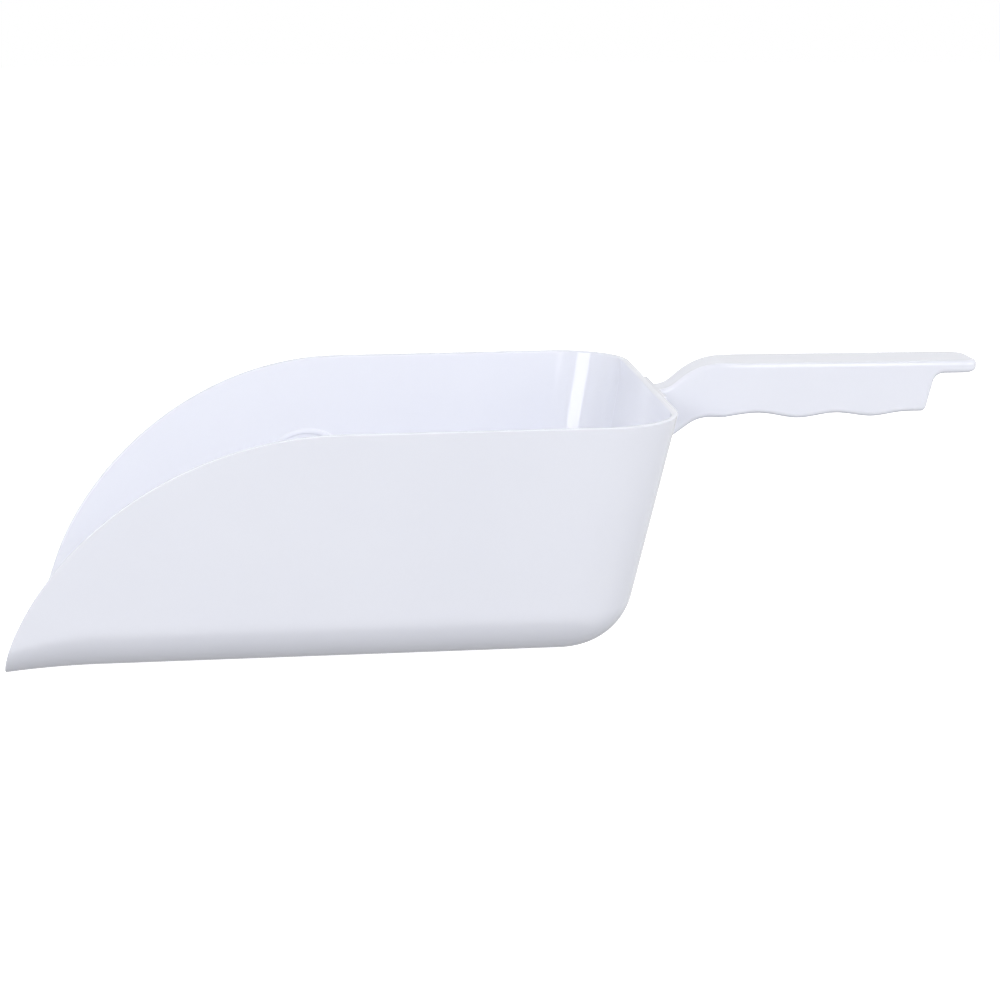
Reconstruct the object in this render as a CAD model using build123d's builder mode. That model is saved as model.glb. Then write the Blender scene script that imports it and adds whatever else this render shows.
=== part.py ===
from build123d import *
import math
import os

# Feed scoop: an open plastic scoop with leaning walls and a sweeping mouth, and a finger-grip handle
# seated on the outside of its back wall.  All sizes are in millimetres.
# +Z is up and the floor rests on z = 0.  +X runs from the nose to the end of the handle, x = 0 is
# halfway between them, and the object is symmetric about the XZ plane.

# Overall
overall_length = 368.0
bowl_length = 242.0
rim_width = 163.0
rim_height = 89.5
lip_setback = 0.27  # how far the rounded lip stands behind the sharp corner that it replaces

# Bowl
wall = 2.3
wall_lean = 11.0
corner_radius = 29.0
floor_radius = 24.5
rim_round = 1.0

# Mouth curve in side view: a cubic Bezier whose two handles point up from the nose and along the rim
mouth_length = 122.0
nose_handle = (9.6, 40.6)
rim_handle = 63.4

# Plain raised ring inside the +Y wall
mark_radius = 19.5
mark_width = 2.0
mark_height = 0.5
mark_from_nose = 108.7
mark_level = 40.5

# Handle, side view.  Places along the handle are distances from the nose.
grip_top = 98.4
tab_top = 97.4
tab_bottom = 92.7
tab_start = 350.8
tab_root_radius = 4.0
grip_end = 347.3
grip_end_radius = 2.2
neck_level = 88.2
neck_start = 247.3
neck_end = 260.2
neck_radius_low = 9.0
neck_radius_high = 26.0
root_bend = 259.5
root_bend_radius = 14.0
root_level = 60.0

# Finger scallops under the grip, from the end of the handle back to the root: place and height
finger_points = [
    (341.0, 78.1),
    (325.8, 76.6),
    (312.0, 78.2),
    (297.3, 76.6),
    (282.5, 78.8),
    (270.0, 77.6),
    (266.0, 77.3),
]

# Handle, plan view: the grip narrows to the neck
grip_width = 24.0
neck_width = 14.4
taper_start = 254.5
taper_end = 272.5
taper_radius = 40.0
tab_corner_radius = 7.0
edge_round = 1.8

# Pad that seats the handle on the back wall
pad_width = 46.0
pad_thickness = 2.2
pad_flare_radius = 8.0
pad_corner_radius = 2.0

# Worked out from the sizes above
nose_x = -overall_length / 2 - lip_setback
tab_end_x = overall_length / 2
rim_back_x = nose_x + bowl_length
slope = math.tan(math.radians(wall_lean))
across_lean = 1 / math.cos(math.radians(wall_lean))  # horizontal run for one unit square to a wall
pad_depth = pad_thickness * across_lean

# How far the blocks that are trimmed later run on past the object
overrun = 60.0
headroom = 10.0


def back_wall_x(z):
    """X of the outer face of the back wall at height z."""
    return rim_back_x - (rim_height - z) * slope


def is_upright(edge):
    return abs(edge.tangent_at(0.5).Z) > 0.5


def tray(inset, upright_radius, bottom_radius):
    """Solid block inside the bowl's leaning faces, each moved inwards by inset.

    It runs on past the nose and above the rim.
    """
    back_x = rim_back_x - inset * across_lean
    front_x = nose_x - overrun
    width = rim_width - 2 * inset * across_lean
    with BuildPart() as block:
        with BuildSketch(Plane.XY.offset(inset)):
            with Locations(((front_x + back_x) / 2, 0)):
                Rectangle(back_x - front_x, width)
        extrude(amount=rim_height + headroom)
        leaning_sides = block.faces().filter_by(Axis.Z, reverse=True).sort_by(Axis.X)[1:]
        draft(leaning_sides, Plane.XY.offset(rim_height), -wall_lean)
        back_uprights = block.edges().filter_by(is_upright).sort_by(Axis.X)[-2:]
        fillet(back_uprights, upright_radius)
        floor_outline = block.faces().sort_by(Axis.Z)[0].edges().sort_by(Axis.X)[1:]
        fillet(floor_outline, bottom_radius)
    return block.part


outer_block = tray(0, corner_radius, floor_radius)
inner_block = tray(wall, corner_radius - wall, floor_radius - wall)

with BuildPart() as bowl:
    add(outer_block)
    add(inner_block, mode=Mode.SUBTRACT)

    # Trim to the side view: the mouth sweeps up from the nose and runs level along the rim.
    with BuildSketch(Plane.XZ):
        with BuildLine():
            mouth = Bezier(
                (nose_x, 0),
                (nose_x + nose_handle[0], nose_handle[1]),
                (nose_x + mouth_length - rim_handle, rim_height),
                (nose_x + mouth_length, rim_height),
            )
            Polyline(
                mouth @ 1,
                (rim_back_x + overrun, rim_height),
                (rim_back_x + overrun, 0),
                mouth @ 0,
            )
        make_face()
    extrude(amount=rim_width, both=True, mode=Mode.INTERSECT)

    # Round the inner and outer edges of the cut, along the rim, down the mouth and across the lip.
    # An edge that two cut faces share is where the mouth runs on into the rim, and stays.
    cut_faces = bowl.faces().filter_by(GeomType.EXTRUSION) + [bowl.faces().sort_by(Axis.Z)[-1]]
    cut_edges = [edge for face in cut_faces for edge in face.edges()]
    fillet(
        [edge for edge in cut_edges if sum(edge.is_same(other) for other in cut_edges) == 1],
        rim_round,
    )

    # The ring is moulded in one with the wall, so it starts halfway through the wall's thickness.
    inner_face_y = rim_width / 2 - (rim_height - mark_level) * slope - wall * across_lean
    inner_face = Plane(
        origin=(nose_x + mark_from_nose, inner_face_y, mark_level),
        x_dir=(1, 0, 0),
        z_dir=(0, -1, slope),
    )
    with BuildSketch(inner_face.offset(-wall / 2)):
        Circle(mark_radius)
        Circle(mark_radius - mark_width, mode=Mode.SUBTRACT)
    extrude(amount=wall / 2 + mark_height)
bowl.part.label = "bowl"

with BuildPart() as handle:
    # Side view: neck, grip top, end tab, finger scallops, and the root that slopes down to the wall.
    with BuildSketch(Plane.XZ):
        with BuildLine():
            upper = FilletPolyline(
                (back_wall_x(neck_level), neck_level),
                (nose_x + neck_start, neck_level),
                (nose_x + neck_end, grip_top),
                (tab_end_x, tab_top),
                (tab_end_x, tab_bottom),
                (nose_x + tab_start, tab_bottom),
                (nose_x + grip_end, finger_points[0][1]),
                (nose_x + finger_points[0][0], finger_points[0][1]),
                radius=[neck_radius_low, neck_radius_high, 0, 0, tab_root_radius, grip_end_radius],
            )
            fingers = Spline(
                *[(nose_x + place, height) for place, height in finger_points],
                tangents=[(-1, 0), (-1, 0)],
            )
            root = FilletPolyline(
                fingers @ 1,
                (nose_x + root_bend, finger_points[-1][1]),
                (back_wall_x(root_level), root_level),
                radius=[root_bend_radius],
            )
            Line(root @ 1, upper @ 0)
        make_face()
    extrude(amount=pad_width, both=True)

    # Plan view, carried up and down along the lean of the back wall: the root flares into the pad.
    wall_x = back_wall_x(neck_level)
    with BuildSketch(Plane.XY.offset(neck_level)) as plan:
        with Locations((wall_x, 0)):
            Rectangle(pad_depth, pad_width, align=(Align.MIN, Align.CENTER))
        with BuildLine():
            outline = FilletPolyline(
                (wall_x, -neck_width / 2),
                (nose_x + taper_start, -neck_width / 2),
                (nose_x + taper_end, -grip_width / 2),
                (tab_end_x + overrun, -grip_width / 2),
                (tab_end_x + overrun, grip_width / 2),
                (nose_x + taper_end, grip_width / 2),
                (nose_x + taper_start, neck_width / 2),
                (wall_x, neck_width / 2),
                radius=[taper_radius, taper_radius, 0, 0, taper_radius, taper_radius],
            )
            Line(outline @ 1, outline @ 0)
        make_face()
        neck_ends = plan.vertices().filter_by_position(Axis.Y, -neck_width / 2, neck_width / 2)
        fillet(
            neck_ends.filter_by_position(Axis.X, wall_x + pad_depth / 2, wall_x + pad_depth * 2),
            pad_flare_radius,
        )
    extrude(amount=overall_length, dir=(slope, 0, 1), both=True, mode=Mode.INTERSECT)

    # Corners of the tab in plan: the rounded end of one rectangle, and a wider one over all behind it.
    with BuildSketch(Plane.XY):
        with Locations((tab_end_x, 0)):
            tab_plan = Rectangle(overall_length, grip_width, align=(Align.MAX, Align.CENTER))
            fillet(tab_plan.vertices().group_by(Axis.X)[-1], tab_corner_radius)
        with Locations((nose_x + finger_points[0][0], 0)):
            Rectangle(overall_length, pad_width * 2, align=(Align.MAX, Align.CENTER))
    extrude(amount=grip_top + headroom, mode=Mode.INTERSECT)

    # The four corners of the pad
    pad_sides = handle.edges().group_by(lambda edge: abs(edge.center().Y))[-1]
    fillet(pad_sides.filter_by(Axis((0, 0, 0), (slope, 0, 1)), reverse=True), pad_corner_radius)

    # One rounded edge runs right round the handle: over the top, round the pad and along the underside.
    across_tab = handle.edges().filter_by(Axis.Y).sort_by(Axis.X)[-2:]
    fillet(across_tab, edge_round)
handle.part.label = "handle"

os.makedirs("parts", exist_ok=True)
export_step(bowl.part, "parts/bowl.step")
export_step(handle.part, "parts/handle.step")
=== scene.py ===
import math

import bmesh
import bpy
import numpy as np
from mathutils import Matrix, Vector


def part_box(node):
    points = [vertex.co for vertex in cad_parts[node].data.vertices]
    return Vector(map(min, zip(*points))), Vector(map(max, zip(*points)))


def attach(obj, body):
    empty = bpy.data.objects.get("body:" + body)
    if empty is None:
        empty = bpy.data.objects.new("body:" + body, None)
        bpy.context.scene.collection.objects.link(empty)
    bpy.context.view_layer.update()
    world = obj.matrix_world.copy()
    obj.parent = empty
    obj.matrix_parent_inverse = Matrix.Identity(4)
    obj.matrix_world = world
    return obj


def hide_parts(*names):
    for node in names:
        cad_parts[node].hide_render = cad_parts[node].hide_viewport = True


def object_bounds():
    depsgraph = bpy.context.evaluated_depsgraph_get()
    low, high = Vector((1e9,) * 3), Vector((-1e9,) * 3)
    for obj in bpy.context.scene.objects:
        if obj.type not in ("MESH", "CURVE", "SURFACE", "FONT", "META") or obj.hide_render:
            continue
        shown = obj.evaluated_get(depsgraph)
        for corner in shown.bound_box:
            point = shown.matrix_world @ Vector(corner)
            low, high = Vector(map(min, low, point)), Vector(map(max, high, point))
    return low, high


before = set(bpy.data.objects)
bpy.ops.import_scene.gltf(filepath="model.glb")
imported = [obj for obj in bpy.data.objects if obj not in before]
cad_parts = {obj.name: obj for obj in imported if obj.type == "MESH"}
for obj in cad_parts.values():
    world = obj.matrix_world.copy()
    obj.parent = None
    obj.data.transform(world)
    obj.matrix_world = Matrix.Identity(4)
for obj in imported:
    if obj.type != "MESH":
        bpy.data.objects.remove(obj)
cad_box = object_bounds()
low, high = cad_box

MM = 0.001

# Sizes of the bowl, in millimetres.  The walls lean outwards.
WALL = 2.3
HALF_WALL = WALL / 2
LEAN = math.radians(11.0)
SLOPE = math.tan(LEAN)
ACROSS_LEAN = 1 / math.cos(LEAN)
CORNER_RADIUS = 29.0

# The floor's rounded edge narrows over the last LIP_TAPER before the lip
FLOOR_RADIUS = 24.5
LIP_FLOOR_RADIUS = 17.0
LIP_TAPER = 32.0

# Side view of the mouth: a cubic Bezier from the lip to the level rim
MOUTH_CURVE = ((0.0, 0.0), (9.6, 40.6), (58.6, 89.5), (122.0, 89.5))
MOUTH_SAMPLES = 4001

# Raised ring inside the +Y wall.  The skin is left open within RING_CLEARANCE of its centre and filled
# up to the ring, whose section is given as radius and height above the skin.
RING_FROM_LIP = 108.4
RING_LEVEL = 40.5
RING_CLEARANCE = 24.0
RING_PROFILE = (
    (19.95, 0.0), (19.7, 0.06), (19.55, 0.2), (19.42, 0.38), (19.15, 0.48),
    (18.5, 0.5), (17.85, 0.48), (17.58, 0.38), (17.45, 0.2), (17.3, 0.06), (17.05, 0.0),
)

# Section of the rim: crisp on the outside, rounded on the inside
RIM_OUTER_ROUND = 0.2
RIM_INNER_ROUND = 2.0
INSIDE = 0.003  # how far the rim keeps inside the CAD box, so that rounding doesn't carry it past

# How finely the bowl is divided
SIDE_STATIONS = 90
CORNER_STATIONS = 28
BACK_STATIONS = 24
FILLET_COLUMNS = 16
WALL_COLUMNS = 64
LIP_POINTS = 60
EDGE_STEPS = 6
RING_STEPS = 120
STEP = 1e-4  # share of a surface over which its slope is measured

# Plastic.  Every noise varies about one half, and NOISE_SPAN is the part of it that is used.
PLASTIC_DARK = (0.787, 0.803, 0.880, 1)
PLASTIC_LIGHT = (0.802, 0.818, 0.894, 1)
PLASTIC_IOR = 1.5
NOISE_SPAN = (0.3, 0.7)
TINT_SCALE, TINT_DETAIL = 14, 3
GLOSS_SCALE, GLOSS_DETAIL = 60, 4
GLOSS_ROUGHNESS = (0.05, 0.085)
SCATTER_WEIGHT = 0.2
SCATTER_DEPTH = 0.003
BUMP_STRENGTH = 0.5
RIPPLE_SCALE, RIPPLE_DETAIL, RIPPLE_HEIGHT = 25, 1, 0.00012
GRAIN_SCALE, GRAIN_DETAIL, GRAIN_HEIGHT = 900, 2, 0.000006

# Studio, in metres
STAGE_REACH = 12.0
STAGE_SIDES = 48
BACKDROP_HEIGHT = 12.0
FLOOR_WHITE = 0.92
FLOOR_GLOW = 0.75
BACKDROP_GLOW = 1.0

# World: grey levels from straight down (0) to straight up (1), blended where Y is within WORLD_BLEND of 0
WORLD_STRENGTH = 1.2
WORLD_BLEND = 0.3
WORLD_FRONT = (
    (0.0, 0.12), (0.05, 0.12), (0.1, 1.0), (0.18, 1.0), (0.32, 0.38),
    (0.55, 0.38), (0.6, 0.46), (0.72, 0.46), (0.78, 0.05), (1.0, 0.1),
)
WORLD_BACK = (
    (0.0, 0.12), (0.1, 0.22), (0.2, 0.28), (0.32, 0.62), (0.5, 0.63),
    (0.6, 0.75), (0.72, 0.75), (0.88, 0.6), (1.0, 0.1),
)

# Softboxes: name, azimuth from -Y towards +X, elevation, distance, width and height, brightness
SOFTBOX_AIM = Vector((0, 0, 0.05))
SOFTBOXES = (
    ("left", -56, 31, 1.1, (0.5, 0.6), 4.5),
    ("overhead", 38, 62, 1.1, (0.13, 0.7), 6.0),
    ("front", 10, 34, 1.6, (1.3, 1.0), 2.45),
    ("right", 75, 20, 1.4, (0.8, 0.8), 2.15),
)

# Camera: degrees and metres, with the azimuth measured as for the softboxes
CAMERA_AZIMUTH = -5.4975
CAMERA_ELEVATION = 14.164
CAMERA_ROLL = -0.322
CAMERA_DISTANCE = 0.7235
CAMERA_AIM_FROM_MIDDLE = -0.0011
CAMERA_AIM_HEIGHT = 0.04475
CAMERA_LENS = 67.07
CAMERA_SENSOR = 36


# ---------------------------------------------------------------- geometry helpers


def unit(vectors):
    return vectors / np.linalg.norm(vectors, axis=-1, keepdims=True)


def turned(start, end, share):
    """Unit vectors from start round to end, at each share of the angle between them."""
    angle = math.acos(float(np.dot(start, end)))
    share = np.asarray(share)[:, None]
    return (np.sin((1 - share) * angle) * start + np.sin(share * angle) * end) / math.sin(angle)


def smooth_piece(name, points, faces, normals):
    """Mesh object from millimetre points, shaded with the normals of the surface that it follows."""
    mesh = bpy.data.meshes.new(name)
    mesh.from_pydata([tuple(point) for point in np.asarray(points) * MM], [], faces)
    mesh.update()
    mesh.shade_smooth()
    mesh.normals_split_custom_set_from_vertices([tuple(normal) for normal in normals])
    piece = bpy.data.objects.new(name, mesh)
    bpy.context.scene.collection.objects.link(piece)
    return piece


# ---------------------------------------------------------------- bowl


def mouth_line():
    """Side view of the line where the middle of the wall ends: distance behind the lip, and height."""
    t = np.linspace(0, 1, MOUTH_SAMPLES)[:, None]
    a, b, c, d = (np.array(point) for point in MOUTH_CURVE)
    curve = (1 - t) ** 3 * a + 3 * (1 - t) ** 2 * t * b + 3 * (1 - t) * t ** 2 * c + t ** 3 * d
    along = unit((1 - t) ** 2 * (b - a) + 2 * (1 - t) * t * (c - b) + t ** 2 * (d - c))
    middle = curve + HALF_WALL * np.stack([along[:, 1], -along[:, 0]], axis=1)
    middle = middle[middle[:, 1] >= HALF_WALL]
    return middle[:, 0] - middle[0, 0], middle[:, 1]


def rim_section():
    """Section of the rim from the outer skin to the inner one.

    Each place and normal is given across and along the wall.
    """
    section = []
    rounds = ((1, RIM_OUTER_ROUND, RIM_OUTER_ROUND), (-1, RIM_INNER_ROUND, HALF_WALL))
    for side, across, beyond in rounds:
        for turn in np.linspace(0, math.pi / 2, EDGE_STEPS + 1)[::side]:
            place = (
                side * (HALF_WALL - across * (1 - math.cos(turn))),
                HALF_WALL - beyond * (1 - math.sin(turn)),
            )
            normal = (side * math.cos(turn) / across, math.sin(turn) / beyond)
            section.append((place, normal / np.hypot(*normal)))
    return section


def rim_reach():
    """How far a leaning wall's rim stands out from the end of its middle: outwards and upwards."""
    along, across = math.cos(LEAN), math.sin(LEAN)
    places = [place for place, _ in rim_section()]
    outwards = max(place[0] * along + place[1] * across for place in places)
    upwards = max(place[1] * along - place[0] * across for place in places)
    return outwards, upwards


def bowl_middle():
    """Middle surface of the bowl's wall, as stations from lip to lip round the back.

    Each station climbs from the flat of the floor to the rim. Returns points and outward normals, both
    indexed by station and column.
    """
    corner_low, corner_high = (np.array(corner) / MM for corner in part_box("bowl"))
    lip_x = corner_low[0] + HALF_WALL
    outwards, upwards = rim_reach()
    rim_x = corner_high[0] - outwards - INSIDE
    rim_y = corner_high[1] - outwards - INSIDE
    rim_z = corner_high[2] - upwards
    reach, level = mouth_line()

    down = np.array([0.0, 0.0, -1.0])
    side_out = np.array([0.0, -math.cos(LEAN), -math.sin(LEAN)])
    back_out = np.array([math.cos(LEAN), 0.0, -math.sin(LEAN)])
    fillet_share = np.linspace(0, 1, FILLET_COLUMNS + 1)
    wall_share = np.linspace(0, 1, WALL_COLUMNS + 1)[1:]
    corner_middle = CORNER_RADIUS - HALF_WALL
    fillet_middle = FLOOR_RADIUS - HALF_WALL

    def corner_axis(z):
        inset = (rim_z - z) * SLOPE + corner_middle * ACROSS_LEAN
        return np.array([rim_x - inset, -(rim_y - inset), z])

    def bend_centre(out):
        """Centre of the floor's rounded edge at the station of a corner that faces this way."""
        reach_in = CORNER_RADIUS - FLOOR_RADIUS
        return corner_axis(FLOOR_RADIUS - reach_in * out[2]) + reach_in * out

    run = bend_centre(side_out)[0] - lip_x

    # Shares of the wall's height at which the columns of the first station divide the mouth evenly
    lip_tangent = LIP_FLOOR_RADIUS - (LIP_FLOOR_RADIUS - HALF_WALL) * math.sin(LEAN)
    above = level >= lip_tangent
    length = np.concatenate([[0], np.cumsum(np.hypot(np.diff(reach[above]), np.diff(level[above])))])
    mouth_levels = np.interp(wall_share * length[-1], length, level[above])
    mouth_share = (mouth_levels - lip_tangent) / (rim_z - lip_tangent)

    def side_point(share, bend_share):
        """Point of the floor's rounded edge, at shares of the way along the side and round the bend."""
        ease = np.clip(share * run / LIP_TAPER, 0, 1)
        radius = LIP_FLOOR_RADIUS + (FLOOR_RADIUS - LIP_FLOOR_RADIUS) * (1 - (1 - ease) ** 2)
        middle = radius - HALF_WALL
        centre_y = rim_y - (rim_z - radius) * SLOPE - middle * ACROSS_LEAN
        out = turned(down, side_out, [bend_share])[0]
        z = radius + middle * out[2]
        x = lip_x + share * run + (1 - share) * np.interp(z, level, reach)
        return np.array([x, -centre_y + middle * out[1], z])

    stations, outs = [], []
    for share in np.linspace(0, 1, SIDE_STATIONS + 1):
        points, normals = [], []
        for bend_share in fillet_share:
            ahead = side_point(min(share + STEP, 1), bend_share)
            behind = side_point(max(share - STEP, 0), bend_share)
            above_it = side_point(share, min(bend_share + STEP, 1))
            below_it = side_point(share, max(bend_share - STEP, 0))
            points.append(side_point(share, bend_share))
            normals.append(unit(np.cross(ahead - behind, above_it - below_it)))
        tangent_z = points[-1][2]
        height_share = (1 - share) * mouth_share + share * wall_share
        for z in tangent_z + height_share * (rim_z - tangent_z):
            mouth_x = (1 - share) * np.interp(z, level, reach)
            x = lip_x + share * run + mouth_x + share * SLOPE * (z - tangent_z)
            points.append(np.array([x, -(rim_y - (rim_z - z) * SLOPE), z]))
            normals.append(side_out)
        stations.append(points)
        outs.append(normals)

    def bent_station(centre, out, climb):
        """Station of the corner or the back: the floor's rounded edge, then the wall up to the rim."""
        bend = turned(down, out, fillet_share)
        points = list(centre + fillet_middle * bend)
        start = points[-1]
        points += [start + share * (rim_z - start[2]) * climb for share in wall_share]
        stations.append(points)
        outs.append(list(bend) + [out] * WALL_COLUMNS)

    for out in turned(side_out, back_out, np.linspace(0, 1, CORNER_STATIONS + 1)[1:]):
        bent_station(bend_centre(out), out, np.array([SLOPE, -SLOPE, 1.0]))
    corner_end = bend_centre(back_out)
    for share in np.linspace(1, 0, BACK_STATIONS + 1)[1:]:
        centre = corner_end * np.array([1, share, 1])
        bent_station(centre, back_out, np.array([SLOPE, -SLOPE * share, 1.0]))

    points, normals = np.array(stations), np.array(outs)
    mirror = np.array([1, -1, 1])
    points = np.concatenate([points, points[-2::-1] * mirror])
    normals = np.concatenate([normals, normals[-2::-1] * mirror])
    return points, normals


def bowl():
    """Both skins of the wall, the rounded edge that joins them, the floor and the raised ring."""
    middle, outward = bowl_middle()
    stations, columns = middle.shape[:2]
    lip_line = np.linspace(middle[-1, 0], middle[0, 0], LIP_POINTS + 1)[1:-1]

    points, normals, faces = [], [], []

    def add(new_points, new_normals):
        first = len(points)
        points.extend(np.asarray(new_points).reshape(-1, 3))
        normals.extend(np.asarray(new_normals).reshape(-1, 3))
        return first + np.arange(len(points) - first)

    down = np.tile([0.0, 0.0, -1.0], (len(lip_line), 1))
    skin = {}
    for side in (1, -1):
        grid = add(middle + side * HALF_WALL * outward, side * outward).reshape(stations, columns)
        lip = add(lip_line + side * HALF_WALL * down, side * down)
        skin[side] = grid, lip

    # Ring: its place on the inner skin of the +Y wall, and the part of the skin that it replaces
    wall_out = outward[-1, -1]
    climb = np.array([0.0, SLOPE, 1.0]) / ACROSS_LEAN
    base_y = middle[-1, -1, 1] - (middle[-1, -1, 2] - RING_LEVEL) * SLOPE - HALF_WALL * ACROSS_LEAN
    lip_edge = float(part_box("bowl")[0].x) / MM
    ring_centre = np.array([lip_edge + RING_FROM_LIP, base_y, RING_LEVEL])

    def near_ring(index):
        return np.linalg.norm(points[index] - ring_centre) < RING_CLEARANCE

    for side in (1, -1):
        grid, lip = skin[side]
        for s in range(stations - 1):
            for c in range(columns - 1):
                face = [grid[s, c], grid[s + 1, c], grid[s + 1, c + 1], grid[s, c + 1]]
                if side == -1 and all(near_ring(index) for index in face):
                    continue
                faces.append(face[::side])
        faces.append((list(grid[:, 0]) + list(lip))[::-side])

    # Rounded edge along the mouth, the rim and the lip
    def border(grid, lip):
        return np.concatenate([grid[0, :], grid[1:, -1], grid[-1, -2::-1], lip])

    outer, inner = border(*skin[1]), border(*skin[-1])
    path = (np.array(points)[outer] + np.array(points)[inner]) / 2
    out = np.array(normals)[outer]
    ahead, behind = np.roll(path, -1, axis=0) - path, path - np.roll(path, 1, axis=0)
    tangent = unit(unit(ahead) + unit(behind))
    edge_out = unit(np.cross(out, tangent))
    loops = [outer]
    for place, normal in rim_section():
        loop = path + place[0] * out + place[1] * edge_out
        loops.append(add(loop, normal[0] * out + normal[1] * edge_out))
    loops.append(inner)
    for first, second in zip(loops, loops[1:]):
        for k in range(len(path)):
            following = (k + 1) % len(path)
            faces.append([first[k], first[following], second[following], second[k]])

    # Raised ring
    inward = -wall_out
    along = np.array([1.0, 0.0, 0.0])
    angles = np.linspace(0, 2 * math.pi, RING_STEPS, endpoint=False)
    spokes = np.cos(angles)[:, None] * along + np.sin(angles)[:, None] * climb
    profile = np.array(RING_PROFILE)
    rings = []
    for k, (radius, height) in enumerate(profile):
        before, after = profile[max(k - 1, 0)], profile[min(k + 1, len(profile) - 1)]
        rise = after - before
        if k in (0, len(profile) - 1):
            direction = np.tile(inward, (RING_STEPS, 1))
        else:
            direction = unit(rise[1] * spokes - rise[0] * inward)
        rings.append(add(ring_centre + radius * spokes + height * inward, direction))
    for first, second in zip(rings, rings[1:]):
        for k in range(RING_STEPS):
            following = (k + 1) % RING_STEPS
            faces.append([first[following], first[k], second[k], second[following]])
    faces.append(list(rings[-1])[::-1])

    faces = [[int(index) for index in face] for face in faces]
    piece = smooth_piece("scoop_bowl", points, faces, normals)

    # The strip of skin between the grid and the ring
    shape = bmesh.new()
    shape.from_mesh(piece.data)
    open_edges = [edge for edge in shape.edges if edge.is_boundary]
    bmesh.ops.triangle_fill(shape, edges=open_edges, normal=inward)
    bmesh.ops.recalc_face_normals(shape, faces=shape.faces)
    shape.to_mesh(piece.data)
    shape.free()
    piece.data.shade_smooth()
    piece.data.normals_split_custom_set_from_vertices([tuple(normal) for normal in normals])
    return piece


# ---------------------------------------------------------------- materials


def noise(nodes, links, vector, scale, detail):
    node = nodes.new("ShaderNodeTexNoise")
    node.inputs["Scale"].default_value = scale
    node.inputs["Detail"].default_value = detail
    links.new(vector, node.inputs["Vector"])
    return node.outputs["Fac"]


def remap(nodes, links, value, source, target=(0, 1)):
    node = nodes.new("ShaderNodeMapRange")
    node.inputs["From Min"].default_value = source[0]
    node.inputs["From Max"].default_value = source[1]
    node.inputs["To Min"].default_value = target[0]
    node.inputs["To Max"].default_value = target[1]
    links.new(value, node.inputs["Value"])
    return node.outputs["Result"]


def bump(nodes, links, height, distance):
    node = nodes.new("ShaderNodeBump")
    node.inputs["Distance"].default_value = distance
    node.inputs["Strength"].default_value = BUMP_STRENGTH
    links.new(height, node.inputs["Height"])
    return node


def moulded_plastic():
    """White plastic from a polished mould: glossy, faintly milky, with the slow ripple of a thin moulding."""
    material = bpy.data.materials.new("moulded_plastic")
    material.use_nodes = True
    nodes, links = material.node_tree.nodes, material.node_tree.links
    shader = nodes["Principled BSDF"]
    place = nodes.new("ShaderNodeTexCoord").outputs["Object"]

    # Colour drifts a little over the wall, as the pigment flows
    tint = nodes.new("ShaderNodeMix")
    tint.data_type = "RGBA"
    tint.inputs["A"].default_value = PLASTIC_DARK
    tint.inputs["B"].default_value = PLASTIC_LIGHT
    drift = noise(nodes, links, place, TINT_SCALE, TINT_DETAIL)
    links.new(remap(nodes, links, drift, NOISE_SPAN), tint.inputs["Factor"])
    links.new(tint.outputs["Result"], shader.inputs["Base Color"])

    gloss = noise(nodes, links, place, GLOSS_SCALE, GLOSS_DETAIL)
    links.new(remap(nodes, links, gloss, NOISE_SPAN, GLOSS_ROUGHNESS), shader.inputs["Roughness"])
    shader.inputs["IOR"].default_value = PLASTIC_IOR
    shader.inputs["Subsurface Weight"].default_value = SCATTER_WEIGHT
    shader.inputs["Subsurface Radius"].default_value = (1.0, 1.0, 1.0)
    shader.inputs["Subsurface Scale"].default_value = SCATTER_DEPTH

    # Slow ripple first, then the fine grain left by the mould
    waves = noise(nodes, links, place, RIPPLE_SCALE, RIPPLE_DETAIL)
    ripple = bump(nodes, links, waves, RIPPLE_HEIGHT)
    specks = noise(nodes, links, place, GRAIN_SCALE, GRAIN_DETAIL)
    grain = bump(nodes, links, specks, GRAIN_HEIGHT)
    links.new(ripple.outputs["Normal"], grain.inputs["Normal"])
    links.new(grain.outputs["Normal"], shader.inputs["Normal"])
    return material


def stage_surface(name, reflects, glows):
    """Dull white that also glows, so that it shows as an even white."""
    material = bpy.data.materials.new(name)
    material.use_nodes = True
    shader = material.node_tree.nodes["Principled BSDF"]
    shader.inputs["Base Color"].default_value = (reflects, reflects, reflects, 1)
    shader.inputs["Roughness"].default_value = 1.0
    shader.inputs["Specular IOR Level"].default_value = 0.0
    shader.inputs["Emission Color"].default_value = (1, 1, 1, 1)
    shader.inputs["Emission Strength"].default_value = glows
    return material


plastic = moulded_plastic()


def finish_piece(piece):
    piece.data.materials.clear()
    piece.data.materials.append(plastic)


scoop_bowl = bowl()
finish_piece(scoop_bowl)
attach(scoop_bowl, "root")
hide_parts("bowl")
finish_piece(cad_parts["handle"])


# ---------------------------------------------------------------- studio


def stage_piece(name, points, faces, surface):
    """Part of the studio that only the camera sees: the scoop is lit by the world and the softboxes alone."""
    mesh = bpy.data.meshes.new(name)
    mesh.from_pydata(points, [], faces)
    mesh.materials.append(surface)
    piece = bpy.data.objects.new(name, mesh)
    bpy.context.scene.collection.objects.link(piece)
    piece.visible_diffuse = False
    piece.visible_glossy = False
    piece.visible_shadow = False


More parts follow.
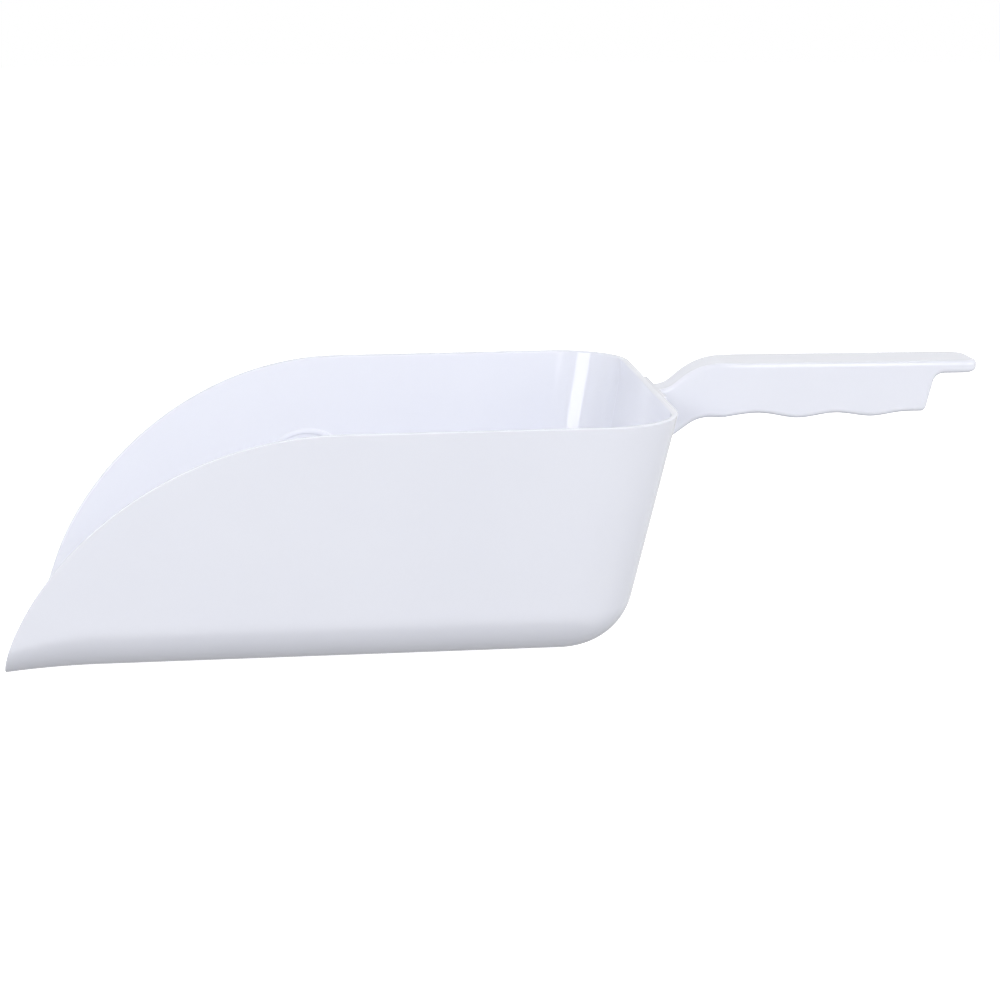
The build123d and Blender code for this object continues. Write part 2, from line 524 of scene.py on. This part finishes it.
def studio_stage():
    """Round floor, and a backdrop that stands along its edge."""
    around = np.linspace(0, 2 * math.pi, STAGE_SIDES, endpoint=False)
    edge = [(STAGE_REACH * math.cos(angle), STAGE_REACH * math.sin(angle), 0) for angle in around]
    floor_white = stage_surface("studio_floor", FLOOR_WHITE, FLOOR_GLOW)
    stage_piece("studio_floor", edge, [list(range(STAGE_SIDES))], floor_white)
    raised = [(x, y, BACKDROP_HEIGHT) for x, y, _ in edge]
    sides = []
    for k in range(STAGE_SIDES):
        following = (k + 1) % STAGE_SIDES
        sides.append((k, following, following + STAGE_SIDES, k + STAGE_SIDES))
    backdrop_white = stage_surface("studio_backdrop", 0.0, BACKDROP_GLOW)
    stage_piece("studio_backdrop", edge + raised, sides, backdrop_white)


def towards(azimuth, elevation):
    """Unit vector towards an azimuth measured from -Y towards +X, and an elevation, in degrees."""
    azimuth, elevation = math.radians(azimuth), math.radians(elevation)
    return Vector((
        math.sin(azimuth) * math.cos(elevation),
        -math.cos(azimuth) * math.cos(elevation),
        math.sin(elevation),
    ))


def softbox(name, azimuth, elevation, distance, size, radiance):
    """Rectangular light that faces the scoop."""
    away = towards(azimuth, elevation)
    data = bpy.data.lights.new(name, "AREA")
    data.shape = "RECTANGLE"
    data.size, data.size_y = size
    data.energy = radiance * math.pi * size[0] * size[1]
    light = bpy.data.objects.new(name, data)
    light.location = SOFTBOX_AIM + away * distance
    light.rotation_mode = "QUATERNION"
    light.rotation_quaternion = (-away).to_track_quat("-Z", "Y")
    bpy.context.scene.collection.objects.link(light)


def studio_camera():
    aim = Vector(((low.x + high.x) / 2 + CAMERA_AIM_FROM_MIDDLE, 0, CAMERA_AIM_HEIGHT))
    back = towards(CAMERA_AZIMUTH, CAMERA_ELEVATION)
    data = bpy.data.cameras.new("camera")
    data.lens = CAMERA_LENS
    data.sensor_width = CAMERA_SENSOR
    camera = bpy.data.objects.new("camera", data)
    camera.location = aim + back * CAMERA_DISTANCE
    look = (-back).to_track_quat("-Z", "Y")
    roll = Matrix.Rotation(math.radians(CAMERA_ROLL), 3, "Z").to_quaternion()
    camera.rotation_mode = "QUATERNION"
    camera.rotation_quaternion = look @ roll
    bpy.context.scene.collection.objects.link(camera)
    bpy.context.scene.camera = camera


def studio_world():
    """One grey ramp of height for the half of the room before the scoop and one for the half behind it."""
    world = bpy.data.worlds.new("studio")
    world.use_nodes = True
    nodes, links = world.node_tree.nodes, world.node_tree.links
    split = nodes.new("ShaderNodeSeparateXYZ")
    links.new(nodes.new("ShaderNodeTexCoord").outputs["Generated"], split.inputs[0])
    height = remap(nodes, links, split.outputs["Z"], (-1, 1))
    half = remap(nodes, links, split.outputs["Y"], (-WORLD_BLEND, WORLD_BLEND))
    halves = nodes.new("ShaderNodeMix")
    halves.data_type = "RGBA"
    links.new(half, halves.inputs["Factor"])
    for side, levels in (("A", WORLD_FRONT), ("B", WORLD_BACK)):
        ramp = nodes.new("ShaderNodeValToRGB")
        stops = ramp.color_ramp.elements
        stops[0].position, stops[1].position = levels[0][0], levels[-1][0]
        for position, _ in levels[1:-1]:
            stops.new(position)
        for stop, (_, level) in zip(stops, levels):
            stop.color = (level, level, level, 1)
        links.new(height, ramp.inputs["Fac"])
        links.new(ramp.outputs["Color"], halves.inputs[side])
    links.new(halves.outputs["Result"], nodes["Background"].inputs["Color"])
    nodes["Background"].inputs["Strength"].default_value = WORLD_STRENGTH
    bpy.context.scene.world = world


studio_stage()
studio_world()
studio_camera()
for light in SOFTBOXES:
    softbox(*light)
bpy.context.scene.view_settings.view_transform = "Standard"
